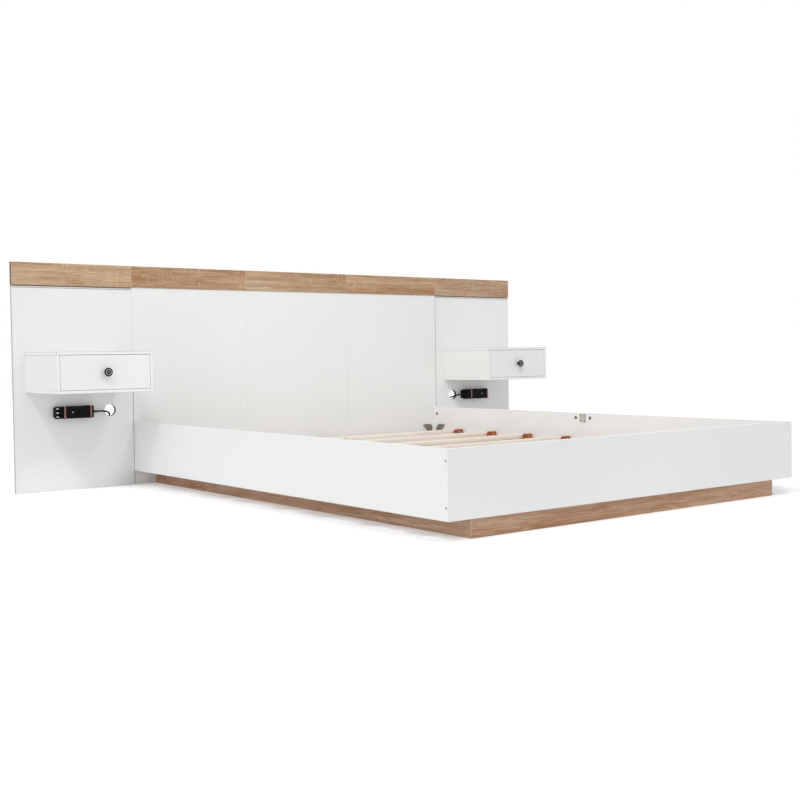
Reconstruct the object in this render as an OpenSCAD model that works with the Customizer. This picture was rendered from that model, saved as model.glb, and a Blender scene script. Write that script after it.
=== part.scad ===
// Low panel bed with a wide five-board headboard, two hung nightstands and a recessed plinth.
// X runs across the bed, the foot end is at -Y, the headboard at +Y, and Z is up from the floor.

/* [Headboard] */
// Width of each outer headboard board, which carries a nightstand
outer_panel_w = 511; // [460:1:600]
// Width of each of the three inner boards; together they span the bed
inner_panel_w = 558; // [500:1:620]
// Height of the headboard with its top boards
headboard_h = 928; // [820:1:1100]
// Thickness of the white boards of headboard, rails and footboard
board_t = 16; // [16:1:19]
// Height of the oak-decor top boards
top_board_h = 90; // [70:1:120]
// How far the top boards stand in front of the white boards
top_board_proud = 4; // [2:0.5:8]
// Shadow gap between an outer white board and its top board
shadow_gap = 4.5; // [3:0.5:8]
// Thickness of the tongue at the back of an outer top board, behind the shadow gap
tongue_t = 10; // [9:0.5:12]
// Height of the white edge profile under the shadow gap
trim_h = 6; // [4:0.5:12]
// How far the edge profile stands in front of its board
trim_proud = 2.5; // [1.5:0.5:4]
// Diameter of the dowels between top boards and white boards
dowel_d = 8; // [6:1:8]
// Length of those dowels
dowel_len = 30; // [24:1:40]
// Distance of the outermost dowels from the ends of a board
dowel_inset = 80; // [40:1:120]
// Width of the steel joining plates on the back
plate_w = 80; // [60:1:120]
// Height of the joining plates
plate_h = 60; // [40:1:90]
// Thickness of the joining plates
plate_t = 2; // [1.5:0.5:3]
// Height of the middle of the lower row of joining plates
plate_low_z = 180; // [100:1:280]
// Height of the middle of the upper row of joining plates
plate_high_z = 680; // [500:1:720]

/* [Bed frame] */
// From the front of the headboard to the outer face of the footboard
bed_len = 2060; // [1960:10:2160]
// Height of rails and footboard
rail_h = 208; // [190:1:260]
// Clear height under the rails
rail_clear = 60; // [40:1:100]
// Width of the slat ledges
ledge_w = 30; // [24:1:45]
// Height of the slat ledges
ledge_h = 40; // [30:1:45]
// Distance from the top of the rails down to the top of the ledges
ledge_drop = 127; // [120:1:130]
// Width and height of the plate across the joint of two rail halves
joint_plate_w = 36; // [30:1:50]
// Distance of that plate's middle below the top of the rail
joint_plate_drop = 21.5; // [21:0.5:40]
// Thickness of bracket and joint plate steel
bracket_t = 2; // [1.5:0.5:2.5]
// Height of the corner brackets
bracket_h = 40; // [36:1:44]
// Reach of a corner bracket along the headboard
bracket_leg_x = 74; // [70:1:84]
// Reach of a corner bracket along the rail
bracket_leg_y = 87; // [80:1:100]
// Diameter of the cam fasteners
cam_d = 15; // [12:1:15]
// Depth of the cam fasteners in the rail
cam_depth = 12; // [10:0.5:12.5]
// Distance of each cam from the joint of the rail halves
cam_offset = 42; // [36:1:60]
// Distance of the cams beside the headboard from it
head_cam_offset = 24; // [20:1:34]
// Diameter of the bolt of a cam
cam_bolt_d = 6; // [5:0.5:6]

/* [Slats] */
// Number of slats
slat_count = 8; // [6:1:10]
// Width of a slat
slat_w = 70; // [50:1:80]
// Thickness of a slat
slat_t = 17; // [14:1:18]
// From the headboard to the middle of the first slat
slat_first = 198; // [150:1:240]
// From the inside of the footboard to the middle of the last slat
slat_last = 149; // [110:1:200]
// Length of a plastic end cap
cap_len = 57; // [46:1:70]
// Thickness of an end cap's floor and of its back lip
cap_wall = 2.5; // [2:0.5:3]
// Thickness of an end cap behind the end of its slat
cap_end = 8; // [6:0.5:12]
// Height of the ear in front of the slat and of the lip behind it
cap_h = 23.5; // [22:0.5:26]
// Thickness of the ear
cap_ear = 8; // [5:0.5:10]
// Radius of an ear's upper corners
cap_round = 7; // [4:0.5:8]
// How far the foot of an end cap stands out past its sides
cap_foot = 2; // [1:0.5:4]
// Height of that foot
cap_foot_h = 4; // [3:0.5:6]
// Play of a slat in its cap
cap_play = 0.2; // [0.1:0.1:0.4]
// Gap between an end cap and the rail
cap_gap = 12; // [8:1:14]

/* [Plinth] */
// How far the plinth sides stand back from the outer faces of the rails
plinth_setback = 100; // [90:1:140]
// Thickness of the plinth boards
plinth_t = 16; // [16:1:19]
// Number of spacer blocks on each side
block_count = 4; // [3:1:6]
// Length of a spacer block along the rail
block_len = 60; // [40:1:100]
// Distance of the end blocks from the ends of the rail
block_inset = 110; // [60:1:200]

/* [Nightstands] */
// Width of a nightstand
stand_w = 395; // [360:1:440]
// How far the left nightstand sits outward of the middle of its board
stand_shift = 11; // [0:1:14]
// Depth of a nightstand from the headboard
stand_d = 340; // [300:1:400]
// Height of a nightstand
stand_h = 160; // [140:1:200]
// Height of the underside of a nightstand above the floor
stand_z = 405; // [380:1:480]
// Thickness of the nightstand boards
stand_t = 12; // [12:1:16]
// Gap around the drawer front
drawer_gap = 1; // [1:0.5:2.5]
// Thickness of the drawer front
front_t = 16; // [14:1:19]
// Thickness of the drawer's sides and back
drawer_t = 12; // [12:1:14]
// Height of the drawer's sides
drawer_side_h = 100; // [80:1:104]
// Room left behind the drawer's box
drawer_room = 24; // [12:1:80]
// Thickness of the drawer's bottom
drawer_bottom_t = 5; // [3:0.5:6]
// How deep the drawer's bottom sits in its grooves
bottom_groove = 5; // [3:0.5:6]
// Height of a runner strip
runner_h = 12; // [8:1:18]
// How deep a runner reaches into the drawer's side
runner_bite = 6; // [4:0.5:7]
// Play between runner and groove
runner_play = 0.3; // [0.2:0.1:0.5]
// Diameter of the knob
knob_d = 34; // [24:1:44]
// How far the knob stands out
knob_out = 25; // [18:1:32]

/* [Power strips] */
// Diameter of the cable hole in each outer board
cable_hole_d = 50; // [46:1:60]
// Distance of the left cable hole from the bed's side of its board
cable_hole_in = 105; // [100:1:108]
// How much farther out the right cable hole is
right_hole_out = 6; // [4:1:8]
// Height of the left cable hole
left_hole_z = 322; // [321:0.5:323]
// Height of the right cable hole
right_hole_z = 327; // [326:0.5:328]
// Height of the middle of the left power strip
left_strip_z = 320; // [319:0.5:321]
// Height of the middle of the right power strip
right_strip_z = 327; // [326:0.5:328]
// Depth of a power strip in front of its board
strip_d = 33; // [28:1:40]
// Height of a power strip's housing
strip_h = 50; // [44:1:52]
// Length of a housing between its red frames
strip_body_l = 105; // [90:1:109]
// Length of a red frame
frame_l = 6.5; // [4:0.5:6.5]
// How far a red frame stands out around the housing
frame_proud = 1.5; // [1:0.5:2.5]
// Length of the round lobes at the end of a strip
lobe_l = 16; // [12:1:20]
// Diameter of a lobe; neighbours touch
lobe_d = 17; // [14:0.5:17]
// Diameter of a mains lead
lead_d = 7; // [6.5:0.1:7]

/* [Fasteners] */
// Height of the flat screw heads
screw_head_h = 2; // [1.5:0.5:2.5]
// Diameter of the screw heads
screw_head_d = 8; // [7:0.5:9]
// Diameter of the screw shanks
screw_d = 4; // [3:0.5:4.5]
// Play around screws, dowels and cams in their holes
hole_play = 0.1; // [0.05:0.05:0.2]

/* [Hidden] */
$fn = 48;
sides = [-1, 1];

// Main lines
bed_w = 3 * inner_panel_w;
half_w = bed_w / 2;
rail_in = half_w - board_t;
whole_d = bed_len + board_t + plate_t + screw_head_h;
y_head = whole_d / 2 - screw_head_h - plate_t - board_t;
y_back = y_head + board_t;
y_foot = -whole_d / 2;
y_foot_in = y_foot + board_t;
y_mid = (y_head + y_foot) / 2;
rail_top = rail_clear + rail_h;

// Headboard
top_board_z = headboard_h - top_board_h;
outer_panel_top = top_board_z - shadow_gap;
board_edges = [for (k = [-1.5:1:1.5]) k * inner_panel_w];
dowel_y = y_back - tongue_t / 2;
plate_screw_edge = 12;
plate_screw_dx = plate_w / 2 - plate_screw_edge;
plate_screw_dz = plate_h / 2 - plate_screw_edge;
plate_screw_len = board_t - 2;

// Corner brackets: where the wings start and end, and their screws
bracket_edge = 12;
bracket_cut = 5;
bracket_start_x = 14;
bracket_start_y = 19;
bracket_rise_x = 26;
bracket_rise_y = 39;
bracket_flare = 36;
bracket_screw_up = 26;
bracket_screw_in = 18;
bracket_screw_pitch = 22;
bracket_screw_len = board_t - 4;
function bracket_screws_at(leg) = [leg - bracket_screw_in - bracket_screw_pitch, leg - bracket_screw_in];

// Cams and bolts between the rails and the headboard
head_cam_low = 20;
head_cam_high = 35;
head_bolt_in = 10;

// Screws from the rails into the footboard, and of the joint plates
foot_screw_low = 38.5;
foot_screw_high = 35;
foot_screw_len = 48;
joint_z = rail_top - joint_plate_drop;
joint_screw_edge = 6;
joint_screw_d = joint_plate_w / 2 - joint_screw_edge;

// Slats, ledges and plinth
ledge_top = rail_top - ledge_drop;
slat_z = ledge_top + cap_wall;
slat_half = rail_in - cap_gap - cap_end;
slat_inner_len = y_head - y_foot_in;
slat_pitch = (slat_inner_len - slat_first - slat_last) / (slat_count - 1);
cap_screw_in = 24.5;
cap_screw_len = 22;
plinth_x = half_w - plinth_setback;
plinth_h = slat_z;
plinth_front_y = y_foot_in;
plinth_back_y = y_head;
block_h = ledge_top - ledge_h - rail_clear;

// Nightstands and drawers
stand_x = half_w + outer_panel_w / 2;
function stand_mid(s) = s * stand_x - (s < 0 ? stand_shift : 0);
stand_in_w = stand_w - 2 * stand_t;
stand_in_h = stand_h - 2 * stand_t;
stand_front = y_head - stand_d;
stand_mid_z = stand_z + stand_h / 2;
front_w = stand_in_w - 2 * drawer_gap;
front_h = stand_in_h - 2 * drawer_gap;
box_front = stand_front + front_t;
drawer_box_d = stand_d - front_t - drawer_room;
box_x = front_w / 2;
box_z = stand_mid_z - drawer_side_h / 2;
bottom_lift = 8;
bottom_z = box_z + bottom_lift;
groove_play = 0.5;
runner_w = drawer_gap + runner_bite;
runner_set = 6;
runner_past = 4;
runner_front = box_front + runner_set;
runner_len = drawer_box_d - runner_set + runner_past;
stand_screw_dz = 45;
stand_screw_len = 50;
knob_stem_r = 6.5;
knob_waist_r = 5;

// Power strips: the left one ends in a cap towards the hole, the right one in its lobes
strip_y = y_head - strip_d;
function strip_z(x) = x < 0 ? left_strip_z : right_strip_z;
strip_round = 4;
strip_cap_l = 8.5;
relief_l = 20;
relief_root = 1.6;
relief_tip = 0.3;
relief_cone_l = 7;
relief_cone_r = 8;
relief_out_left = 17;
relief_out_right = 25;
lobe_pitch = lobe_d - 0.4;
hole_x = half_w + cable_hole_in;
right_hole_x = hole_x + right_hole_out;
left_lead_x = -hole_x - 66;
left_neck_l = 17.5;
left_strip_x = left_lead_x - relief_l - strip_cap_l - frame_l - strip_body_l - frame_l - left_neck_l - lobe_l;
right_lead_x = right_hole_x + 35.5;
right_neck_l = 27.5;
right_strip_x = right_lead_x + relief_l;
left_body_x = left_strip_x + lobe_l + left_neck_l + frame_l;
right_body_x = right_strip_x + lobe_l + right_neck_l + frame_l;
left_lens_x = 30;
right_lens_x = 71;
lens_r = 2.5;
lens_h = 1;

// Mains leads: hand-chosen points from the strip through the hole and down to the coil
lead_sides = 8;
lead_left_pts = [
    [-1008, 1003, 320], [-991, 1003, 320], [-976, 1004, 319], [-963, 1008, 316.5],
    [-952, 1015, 312.5], [-944, 1025, 308], [-938, 1037, 303], [-934, 1049, 296],
    [-931, 1059, 286], [-930, 1066, 273], [-929, 1069, 258], [-929, 1069, 239],
    [-929, 1067, 219], [-929, 1064, 198], [-929, 1061, 177], [-929, 1059, 156],
    [-929, 1057, 135], [-929, 1056, 114], [-929, 1055, 93], [-929, 1054, 73],
    [-930, 1053, 54], [-934, 1052, 37], [-942, 1051, 23], [-954, 1050, 12],
    [-969, 1050, 6], [-986, 1050, 3.5], [-1004, 1050, 3.5], [-1022, 1050, 3.5],
    [-1040, 1050, 3.5]
];
lead_right_pts = [
    [983.5, 995, 327], [973, 995.5, 326], [962.5, 998, 323.8], [953.5, 1003, 320.8],
    [946.5, 1010.5, 317.8], [942, 1020, 314.8], [939.5, 1030.5, 312], [938.5, 1041, 307.5],
    [937.5, 1051, 300.5], [936.5, 1060, 290], [935, 1066.5, 277], [933.5, 1070, 262],
    [932, 1070.5, 244], [930.5, 1068.5, 223], [929, 1065, 202], [929, 1062, 181], [929, 1059, 160],
    [929, 1057, 139], [929, 1056, 118], [929, 1055, 97], [929, 1054, 76],
    [930, 1053, 56], [934, 1052, 38], [942, 1051, 23], [954, 1050, 12],
    [969, 1050, 6], [986, 1050, 3.5], [1004, 1050, 3.5], [1022, 1050, 3.5],
    [1040, 1050, 3.5]
];

// Coils: two turns in on the floor, half a turn up, two turns out on top
coil_start = [1040, 1050];
coil_r = 46;
coil_pitch = 7.5;
coil_turns = 4.5;
coil_climb = 0.5;
coil_rings = 24;
coil_sides = 6;
coil_tail = 7;
coil_cx = coil_start[0] + coil_tail;
coil_cy = coil_start[1] + coil_r;
coil_low = 3.5;
climb_from = (coil_turns - coil_climb) / 2;

// Plugs beside the coils, lying on their backs with the pins up
plug_r = 19;
plug_h = 22;
plug_neck = 25;
plug_sink = 4;
pin_d = 4.8;
pin_h = 19;
pin_gap = 19;

function unit(v) = v / norm(v);

// Directions along a run of points, with the first and last one given
function directions(p, first, last) =
    [for (i = [0:len(p) - 1]) i == 0 ? first : i == len(p) - 1 ? last : unit(p[i + 1] - p[i - 1])];

// A side vector for each direction, carried along without twist
function side_vectors(t, start) =
    [for (i = 0, u = unit(start - (start * t[0]) * t[0]); i < len(t);
          i = i + 1, u = i < len(t) ? unit(u - (u * t[i]) * t[i]) : u) u];

// Point of a coil after t turns; s is -1 for the left coil and 1 for the right one
function coil_radius(t) = coil_r - coil_pitch * min(t, coil_turns - t);
function coil_height(t) =
    let (c = min(max((t - climb_from) / coil_climb, 0), 1))
    coil_low + coil_pitch * (1 - cos(180 * c)) / 2;
function coil_point(s, t) =
    [s * (coil_cx + coil_radius(t) * sin(360 * t)), coil_cy - coil_radius(t) * cos(360 * t), coil_height(t)];

// Whole coil with its straight ends
function coil_path(s) =
    let (n = coil_turns * coil_rings, a = coil_point(s, 0), b = coil_point(s, coil_turns))
    concat([a - [s * coil_tail, 0, 0]],
           [for (i = [0:n]) coil_point(s, i / coil_rings)],
           [b - [s * coil_tail, 0, 0]]);

// Least gap between turns, on points more than half a turn apart
coil_points = coil_path(1);
coil_gap = min([for (i = [0:len(coil_points) - 1]) for (j = [i + coil_rings / 2:1:len(coil_points) - 1])
    norm(coil_points[i] - coil_points[j])]) - lead_d;
echo(coil_gap_mm = coil_gap);

WHITE = [0.93, 0.93, 0.92];
OAK = [0.76, 0.63, 0.48];
PINE = [0.93, 0.86, 0.74];
STEEL = [0.72, 0.73, 0.75];
BLACK = [0.09, 0.09, 0.10];

// A box from one corner to the other
module box(a, b) {
    translate(a) cube(b - a);
}

// A cylinder from a point along X, Y or Z
module rod_x(p, r, l) {
    translate(p) rotate([0, 90, 0]) cylinder(r = r, h = l);
}
module rod_y(p, r, l) {
    translate(p) rotate([-90, 0, 0]) cylinder(r = r, h = l);
}
module rod_z(p, r, l) {
    translate(p) cylinder(r = r, h = l);
}

// A flat-head screw whose head's underside is at the origin, shank along +Z; grow widens it to a hole
module screw(len, grow = 0) {
    translate([0, 0, -screw_head_h]) cylinder(d = screw_head_d + 2 * grow, h = screw_head_h);
    cylinder(d = screw_d + 2 * grow, h = len + grow);
}

// A tube of n sides through the points p, with its first and last direction given
module tube(p, r, n, first, last) {
    t = directions(p, first, last);
    u = side_vectors(t, [0, 0, 1]);
    rings = len(p);
    points = [for (i = [0:rings - 1]) for (k = [0:n - 1])
        p[i] + r * (cos(360 * k / n) * u[i] + sin(360 * k / n) * cross(t[i], u[i]))];
    walls = [for (i = [0:rings - 2]) for (k = [0:n - 1])
        let (a = i * n + k, b = i * n + (k + 1) % n)
        each [[a, a + n, b + n], [a, b + n, b]]];
    near_end = [for (k = [1:n - 2]) [0, k, k + 1]];
    far_end = [for (k = [1:n - 2]) let (e = (rings - 1) * n) [e, e + k + 1, e + k]];
    polyhedron(points = points, faces = concat(walls, near_end, far_end), convexity = 12);
}

// Screws and dowels, drawn as they are or, with grow, as their holes

module dowel_row(x0, w, z, grow = 0) {
    for (x = [x0 + dowel_inset, x0 + w - dowel_inset])
        rod_z([x, dowel_y, z - dowel_len / 2 - grow], dowel_d / 2 + grow, dowel_len + 2 * grow);
}

module joining_screws(x, grow = 0) {
    for (z = [plate_low_z, plate_high_z])
        for (dx = [-plate_screw_dx, plate_screw_dx])
            for (dz = [-plate_screw_dz, plate_screw_dz])
                translate([x + dx, y_back + plate_t, z + dz]) rotate([90, 0, 0])
                    screw(plate_t + plate_screw_len, grow);
}

module stand_screws(s, grow = 0) {
    for (dx = [-1, 1])
        for (dz = [-stand_screw_dz, stand_screw_dz])
            translate([stand_mid(s) + dx * (stand_w - stand_t) / 2, y_back, stand_mid_z + dz])
                rotate([90, 0, 0]) screw(stand_screw_len, grow);
}

module foot_screws(s, grow = 0) {
    for (z = [rail_clear + foot_screw_low, rail_top - foot_screw_high])
        translate([s * (half_w - screw_head_h), y_foot + board_t / 2, z])
            rotate([0, -s * 90, 0]) screw(foot_screw_len, grow);
}

module bracket_screws(s, grow = 0) {
    bracket_screw_z = ledge_top + bracket_screw_up;
    for (dx = bracket_screws_at(bracket_leg_x))
        translate([s * (rail_in - dx), y_head - bracket_t, bracket_screw_z])
            rotate([-90, 0, 0]) screw(bracket_t + bracket_screw_len, grow);
    for (dy = bracket_screws_at(bracket_leg_y))
        translate([s * (rail_in - bracket_t), y_head - dy, bracket_screw_z])
            rotate([0, s * 90, 0]) screw(bracket_t + bracket_screw_len, grow);
}

module joint_screws(s, grow = 0) {
    for (dy = [-joint_screw_d, joint_screw_d])
        for (dz = [-joint_screw_d, joint_screw_d])
            translate([s * (rail_in - bracket_t), y_mid + dy, joint_z + dz])
                rotate([0, s * 90, 0]) screw(bracket_t + bracket_screw_len, grow);
}

module cams(s, grow = 0) {
    inner = s * rail_in - (s < 0 ? cam_depth + grow : 0);
    for (dy = [-cam_offset, cam_offset])
        rod_x([inner, y_mid + dy, joint_z], cam_d / 2 + grow, cam_depth + grow);
    bolt_len = 2 * cam_offset - cam_d;
    rod_y([s * (rail_in + board_t / 2), y_mid - bolt_len / 2 - 2 * grow, joint_z],
          cam_bolt_d / 2 + grow, bolt_len + 4 * grow);
}

module head_cams(s, grow = 0) {
    inner = s * rail_in - (s < 0 ? cam_depth + grow : 0);
    cam_y = y_head - head_cam_offset;
    for (z = [rail_clear + head_cam_low, rail_top - head_cam_high]) {
        rod_x([inner, cam_y, z], cam_d / 2 + grow, cam_depth + grow);
        rod_y([s * (rail_in + board_t / 2), cam_y + cam_d / 2 - 2 * grow, z],
              cam_bolt_d / 2 + grow, head_cam_offset - cam_d / 2 + head_bolt_in + 3 * grow);
    }
}

module cap_screw(s, y, grow = 0) {
    ear_front = y - slat_w / 2 - cap_play - cap_ear;
    translate([s * (rail_in - cap_gap - cap_screw_in), ear_front, slat_z + slat_t / 2])
        rotate([-90, 0, 0]) screw(cap_ear + cap_screw_len, grow);
}

// Headboard

module white_panel(x0, w, top, joints) {
    difference() {
        box([x0, y_head, 0], [x0 + w, y_back, top]);
        dowel_row(x0, w, top, hole_play);
        for (x = joints) joining_screws(x, hole_play);
        children();
    }
}

module outer_panel(s) {
    x0 = s < 0 ? -half_w - outer_panel_w : half_w;
    color(WHITE) white_panel(x0, outer_panel_w, outer_panel_top, [s * half_w]) {
        rod_y([s < 0 ? -hole_x : right_hole_x, y_head - 1, s < 0 ? left_hole_z : right_hole_z],
              cable_hole_d / 2, board_t + 2);
        stand_screws(s, hole_play);
    }
}

module inner_panel(k) {
    x0 = board_edges[k];
    color(WHITE) white_panel(x0, inner_panel_w, top_board_z, [x0, x0 + inner_panel_w])
        for (s = sides) {
            bracket_screws(s, hole_play);
            head_cams(s, hole_play);
        }
}

module top_board(x0, w, outer) {
    color(OAK) difference() {
        union() {
            box([x0, y_head - top_board_proud, top_board_z], [x0 + w, y_back, headboard_h]);
            if (outer) box([x0, y_back - tongue_t, outer_panel_top], [x0 + w, y_back, top_board_z + 1]);
        }
        dowel_row(x0, w, outer ? outer_panel_top : top_board_z, hole_play);
    }
}

module edge_trims() {
    color(WHITE) for (s = sides)
        box([s * stand_x - outer_panel_w / 2, y_head - trim_proud, outer_panel_top - trim_h],
            [s * stand_x + outer_panel_w / 2, y_head, outer_panel_top]);
}

module panel_dowels() {
    color(PINE) {
        for (s = sides) dowel_row(s * stand_x - outer_panel_w / 2, outer_panel_w, outer_panel_top);
        for (k = [0:2]) dowel_row(board_edges[k], inner_panel_w, top_board_z);
    }
}

module joining_plates() {
    color(STEEL) for (x = board_edges)
        difference() {
            for (z = [plate_low_z, plate_high_z])
                box([x - plate_w / 2, y_back, z - plate_h / 2],
                    [x + plate_w / 2, y_back + plate_t, z + plate_h / 2]);
            joining_screws(x, hole_play);
        }
}

module headboard_screws() {
    color(STEEL) {
        for (x = board_edges) joining_screws(x);
        for (s = sides) stand_screws(s);
    }
}

// Bed frame

module rail_half(s, foot) {
    inner = s * rail_in;
    outer = s * half_w;
    y0 = foot ? y_foot : y_mid;
    y1 = foot ? y_mid : y_head;
    color(WHITE) difference() {
        box([min(inner, outer), y0, rail_clear], [max(inner, outer), y1, rail_top]);
        cams(s, hole_play);
        joint_screws(s, hole_play);
        if (foot) foot_screws(s, hole_play);
        if (!foot) bracket_screws(s, hole_play);
        if (!foot) head_cams(s, hole_play);
    }
}

module footboard() {
    color(WHITE) difference() {
        box([-rail_in, y_foot, rail_clear], [rail_in, y_foot_in, rail_top]);
        for (s = sides) foot_screws(s, hole_play);
    }
}

module rail_joint_plates() {
    color(STEEL) for (s = sides)
        difference() {
            translate([s * (rail_in - bracket_t / 2), y_mid, joint_z])
                cube([bracket_t, joint_plate_w, joint_plate_w], center = true);
            joint_screws(s, hole_play);
        }
}

module rail_cams() {
    color(BLACK) for (s = sides) {
        cams(s);
        head_cams(s);
    }
}

// Outline of one wing, seen on its board: it flares away from the corner in the direction d
module bracket_wing(d, leg, start, rise) {
    h = bracket_h;
    polygon([[d * start, 0], [d * (leg - bracket_flare), 0], [d * leg, h - bracket_cut],
             [d * (leg - bracket_cut), h], [d * rise, h], [d * start, h - rise + start]]);
}

// Folded steel corner: a foot on the ledge and a wing on the headboard and on the rail
module corner_bracket(s) {
    lx = bracket_leg_x - bracket_flare;
    ly = bracket_leg_y - bracket_flare;
    e = bracket_edge;
    difference() {
        union() {
            translate([s * rail_in, y_head, ledge_top]) linear_extrude(bracket_t)
                polygon([[0, 0], [-s * lx, 0], [-s * lx, -e], [-s * e, -ly], [0, -ly]]);
            translate([s * rail_in, y_head, ledge_top]) rotate([90, 0, 0]) linear_extrude(bracket_t)
                bracket_wing(-s, bracket_leg_x, bracket_start_x, bracket_rise_x);
            translate([s * (rail_in - (s > 0 ? bracket_t : 0)), y_head, ledge_top])
                rotate([90, 0, 90]) linear_extrude(bracket_t)
                    bracket_wing(-1, bracket_leg_y, bracket_start_y, bracket_rise_y);
        }
        bracket_screws(s, hole_play);
    }
}

module corner_brackets() {
    color(STEEL) for (s = sides) corner_bracket(s);
}

module slat_ledges() {
    color(PINE) for (s = sides)
        for (y = [[y_foot_in, y_mid], [y_mid, y_head]])
            box([min(s * rail_in, s * (rail_in - ledge_w)), y[0], ledge_top - ledge_h],
                [max(s * rail_in, s * (rail_in - ledge_w)), y[1], ledge_top]);
}

module frame_screws() {
    color(STEEL) for (s = sides) {
        foot_screws(s);
        bracket_screws(s);
        joint_screws(s);
    }
}

// Slats

function slat_y(k) = y_head - slat_first - k * slat_pitch;

module slats() {
    color(PINE) for (k = [0:slat_count - 1])
        difference() {
            box([-slat_half, slat_y(k) - slat_w / 2, slat_z],
                [slat_half, slat_y(k) + slat_w / 2, slat_z + slat_t]);
            for (s = sides) cap_screw(s, slat_y(k), hole_play);
        }
}

// Ear of an end cap seen from the foot: upright sides on a wider foot, rounded upper corners
module cap_outline() {
    square([cap_len, cap_foot_h]);
    translate([cap_foot, 0]) square([cap_len - 2 * cap_foot, cap_h - cap_round]);
    translate([cap_foot + cap_round, 0]) square([cap_len - 2 * (cap_foot + cap_round), cap_h]);
    for (x = [cap_foot + cap_round, cap_len - cap_foot - cap_round])
        translate([x, cap_h - cap_round]) circle(r = cap_round);
}

// Holder at the end of a slat: a floor, an ear in front, a thin lip behind and a block at the slat's end
module slat_cap(s, y) {
    outside = s * (rail_in - cap_gap);
    half = slat_w / 2 + cap_play;
    color([0.45, 0.25, 0.17]) difference() {
        translate([s < 0 ? outside : outside - cap_len, y, ledge_top]) {
            translate([0, -half, 0]) rotate([90, 0, 0]) linear_extrude(cap_ear) cap_outline();
            translate([0, half + cap_wall, 0]) rotate([90, 0, 0]) linear_extrude(cap_wall) cap_outline();
            translate([0, -half, 0]) cube([cap_len, 2 * half, cap_wall]);
            translate([s < 0 ? cap_foot : cap_len - cap_end, -half, 0])
                cube([cap_end - cap_foot, 2 * half, cap_wall + slat_t]);
        }
        cap_screw(s, y, hole_play);
    }
}

module slat_caps() {
    for (s = sides)
        for (k = [0:slat_count - 1]) slat_cap(s, slat_y(k));
}

module slat_cap_screws() {
    color([0.78, 0.62, 0.36]) for (s = sides)
        for (k = [0:slat_count - 1]) cap_screw(s, slat_y(k));
}

// Plinth

module plinth_front() {
    color(OAK) box([-plinth_x, plinth_front_y, 0], [plinth_x, plinth_front_y + plinth_t, plinth_h]);
}

module plinth_back() {
    color(OAK) box([-plinth_x, plinth_back_y - plinth_t, 0], [plinth_x, plinth_back_y, plinth_h]);
}

plinth_mid_y = (plinth_front_y + plinth_back_y) / 2;

module plinth_sides(s) {
    x0 = s < 0 ? -plinth_x : plinth_x - plinth_t;
    color(OAK) {
        box([x0, plinth_front_y + plinth_t, 0], [x0 + plinth_t, plinth_mid_y, plinth_h]);
        box([x0, plinth_mid_y, 0], [x0 + plinth_t, plinth_back_y - plinth_t, plinth_h]);
    }
}

module plinth_centre() {
    color(OAK) box([-plinth_t / 2, plinth_front_y + plinth_t, 0],
                   [plinth_t / 2, plinth_back_y - plinth_t, plinth_h]);
}

module spacer_blocks() {
    run = y_head - y_foot_in - 2 * block_inset - block_len;
    color(PINE) for (s = sides)
        for (k = [0:block_count - 1])
            translate([s < 0 ? -rail_in : plinth_x,
                       y_foot_in + block_inset + k * run / (block_count - 1), rail_clear])
                cube([rail_in - plinth_x, block_len, block_h]);
}

// Nightstands

module stand_top(s) {
    color(WHITE) box([stand_mid(s) - stand_w / 2, stand_front, stand_z + stand_h - stand_t],
                     [stand_mid(s) + stand_w / 2, y_head, stand_z + stand_h]);
}

module stand_bottom(s) {
    color(WHITE) box([stand_mid(s) - stand_w / 2, stand_front, stand_z],
                     [stand_mid(s) + stand_w / 2, y_head, stand_z + stand_t]);
}

module stand_sides(s) {
    color(WHITE) difference() {
        for (x = [stand_mid(s) - stand_w / 2, stand_mid(s) + stand_w / 2 - stand_t])
            box([x, stand_front, stand_z + stand_t], [x + stand_t, y_head, stand_z + stand_h - stand_t]);
        stand_screws(s, hole_play);
    }
}

module drawer_runners() {
    color(PINE) for (s = sides)
        for (d = sides) {
            wall = stand_mid(s) + d * stand_in_w / 2;
            box([min(wall, wall - d * runner_w), runner_front, stand_mid_z - runner_h / 2],
                [max(wall, wall - d * runner_w), runner_front + runner_len, stand_mid_z + runner_h / 2]);
        }
}

// Drawers, each in the place of its own nightstand

module drawer_bottom_space(s, play = 0) {
    box([stand_mid(s) - box_x + drawer_t - bottom_groove - play, box_front - bottom_groove - play, bottom_z],
        [stand_mid(s) + box_x - drawer_t + bottom_groove + play, box_front + drawer_box_d,
         bottom_z + drawer_bottom_t + play]);
}

module drawer_front(s) {
    color(WHITE) difference() {
        box([stand_mid(s) - front_w / 2, stand_front, stand_mid_z - front_h / 2],
            [stand_mid(s) + front_w / 2, box_front, stand_mid_z + front_h / 2]);
        drawer_bottom_space(s, runner_play);
    }
}

module drawer_box(s) {
    y1 = box_front + drawer_box_d;
    groove_r = runner_bite + groove_play;
    color(WHITE) for (d = sides) difference() {
        outside = stand_mid(s) + d * box_x;
        box([min(outside, outside - d * drawer_t), box_front, box_z],
            [max(outside, outside - d * drawer_t), y1, box_z + drawer_side_h]);
        box([min(outside + d, outside - d * groove_r), box_front - 1, stand_mid_z - runner_h / 2 - runner_play],
            [max(outside + d, outside - d * groove_r), y1 + 1, stand_mid_z + runner_h / 2 + runner_play]);
        drawer_bottom_space(s, runner_play);
    }
    color(WHITE) box([stand_mid(s) - box_x + drawer_t, y1 - drawer_t, bottom_z + drawer_bottom_t],
                     [stand_mid(s) + box_x - drawer_t, y1, box_z + drawer_side_h]);
}

module drawer_bottom(s) {
    color(WHITE) drawer_bottom_space(s);
}

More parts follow.
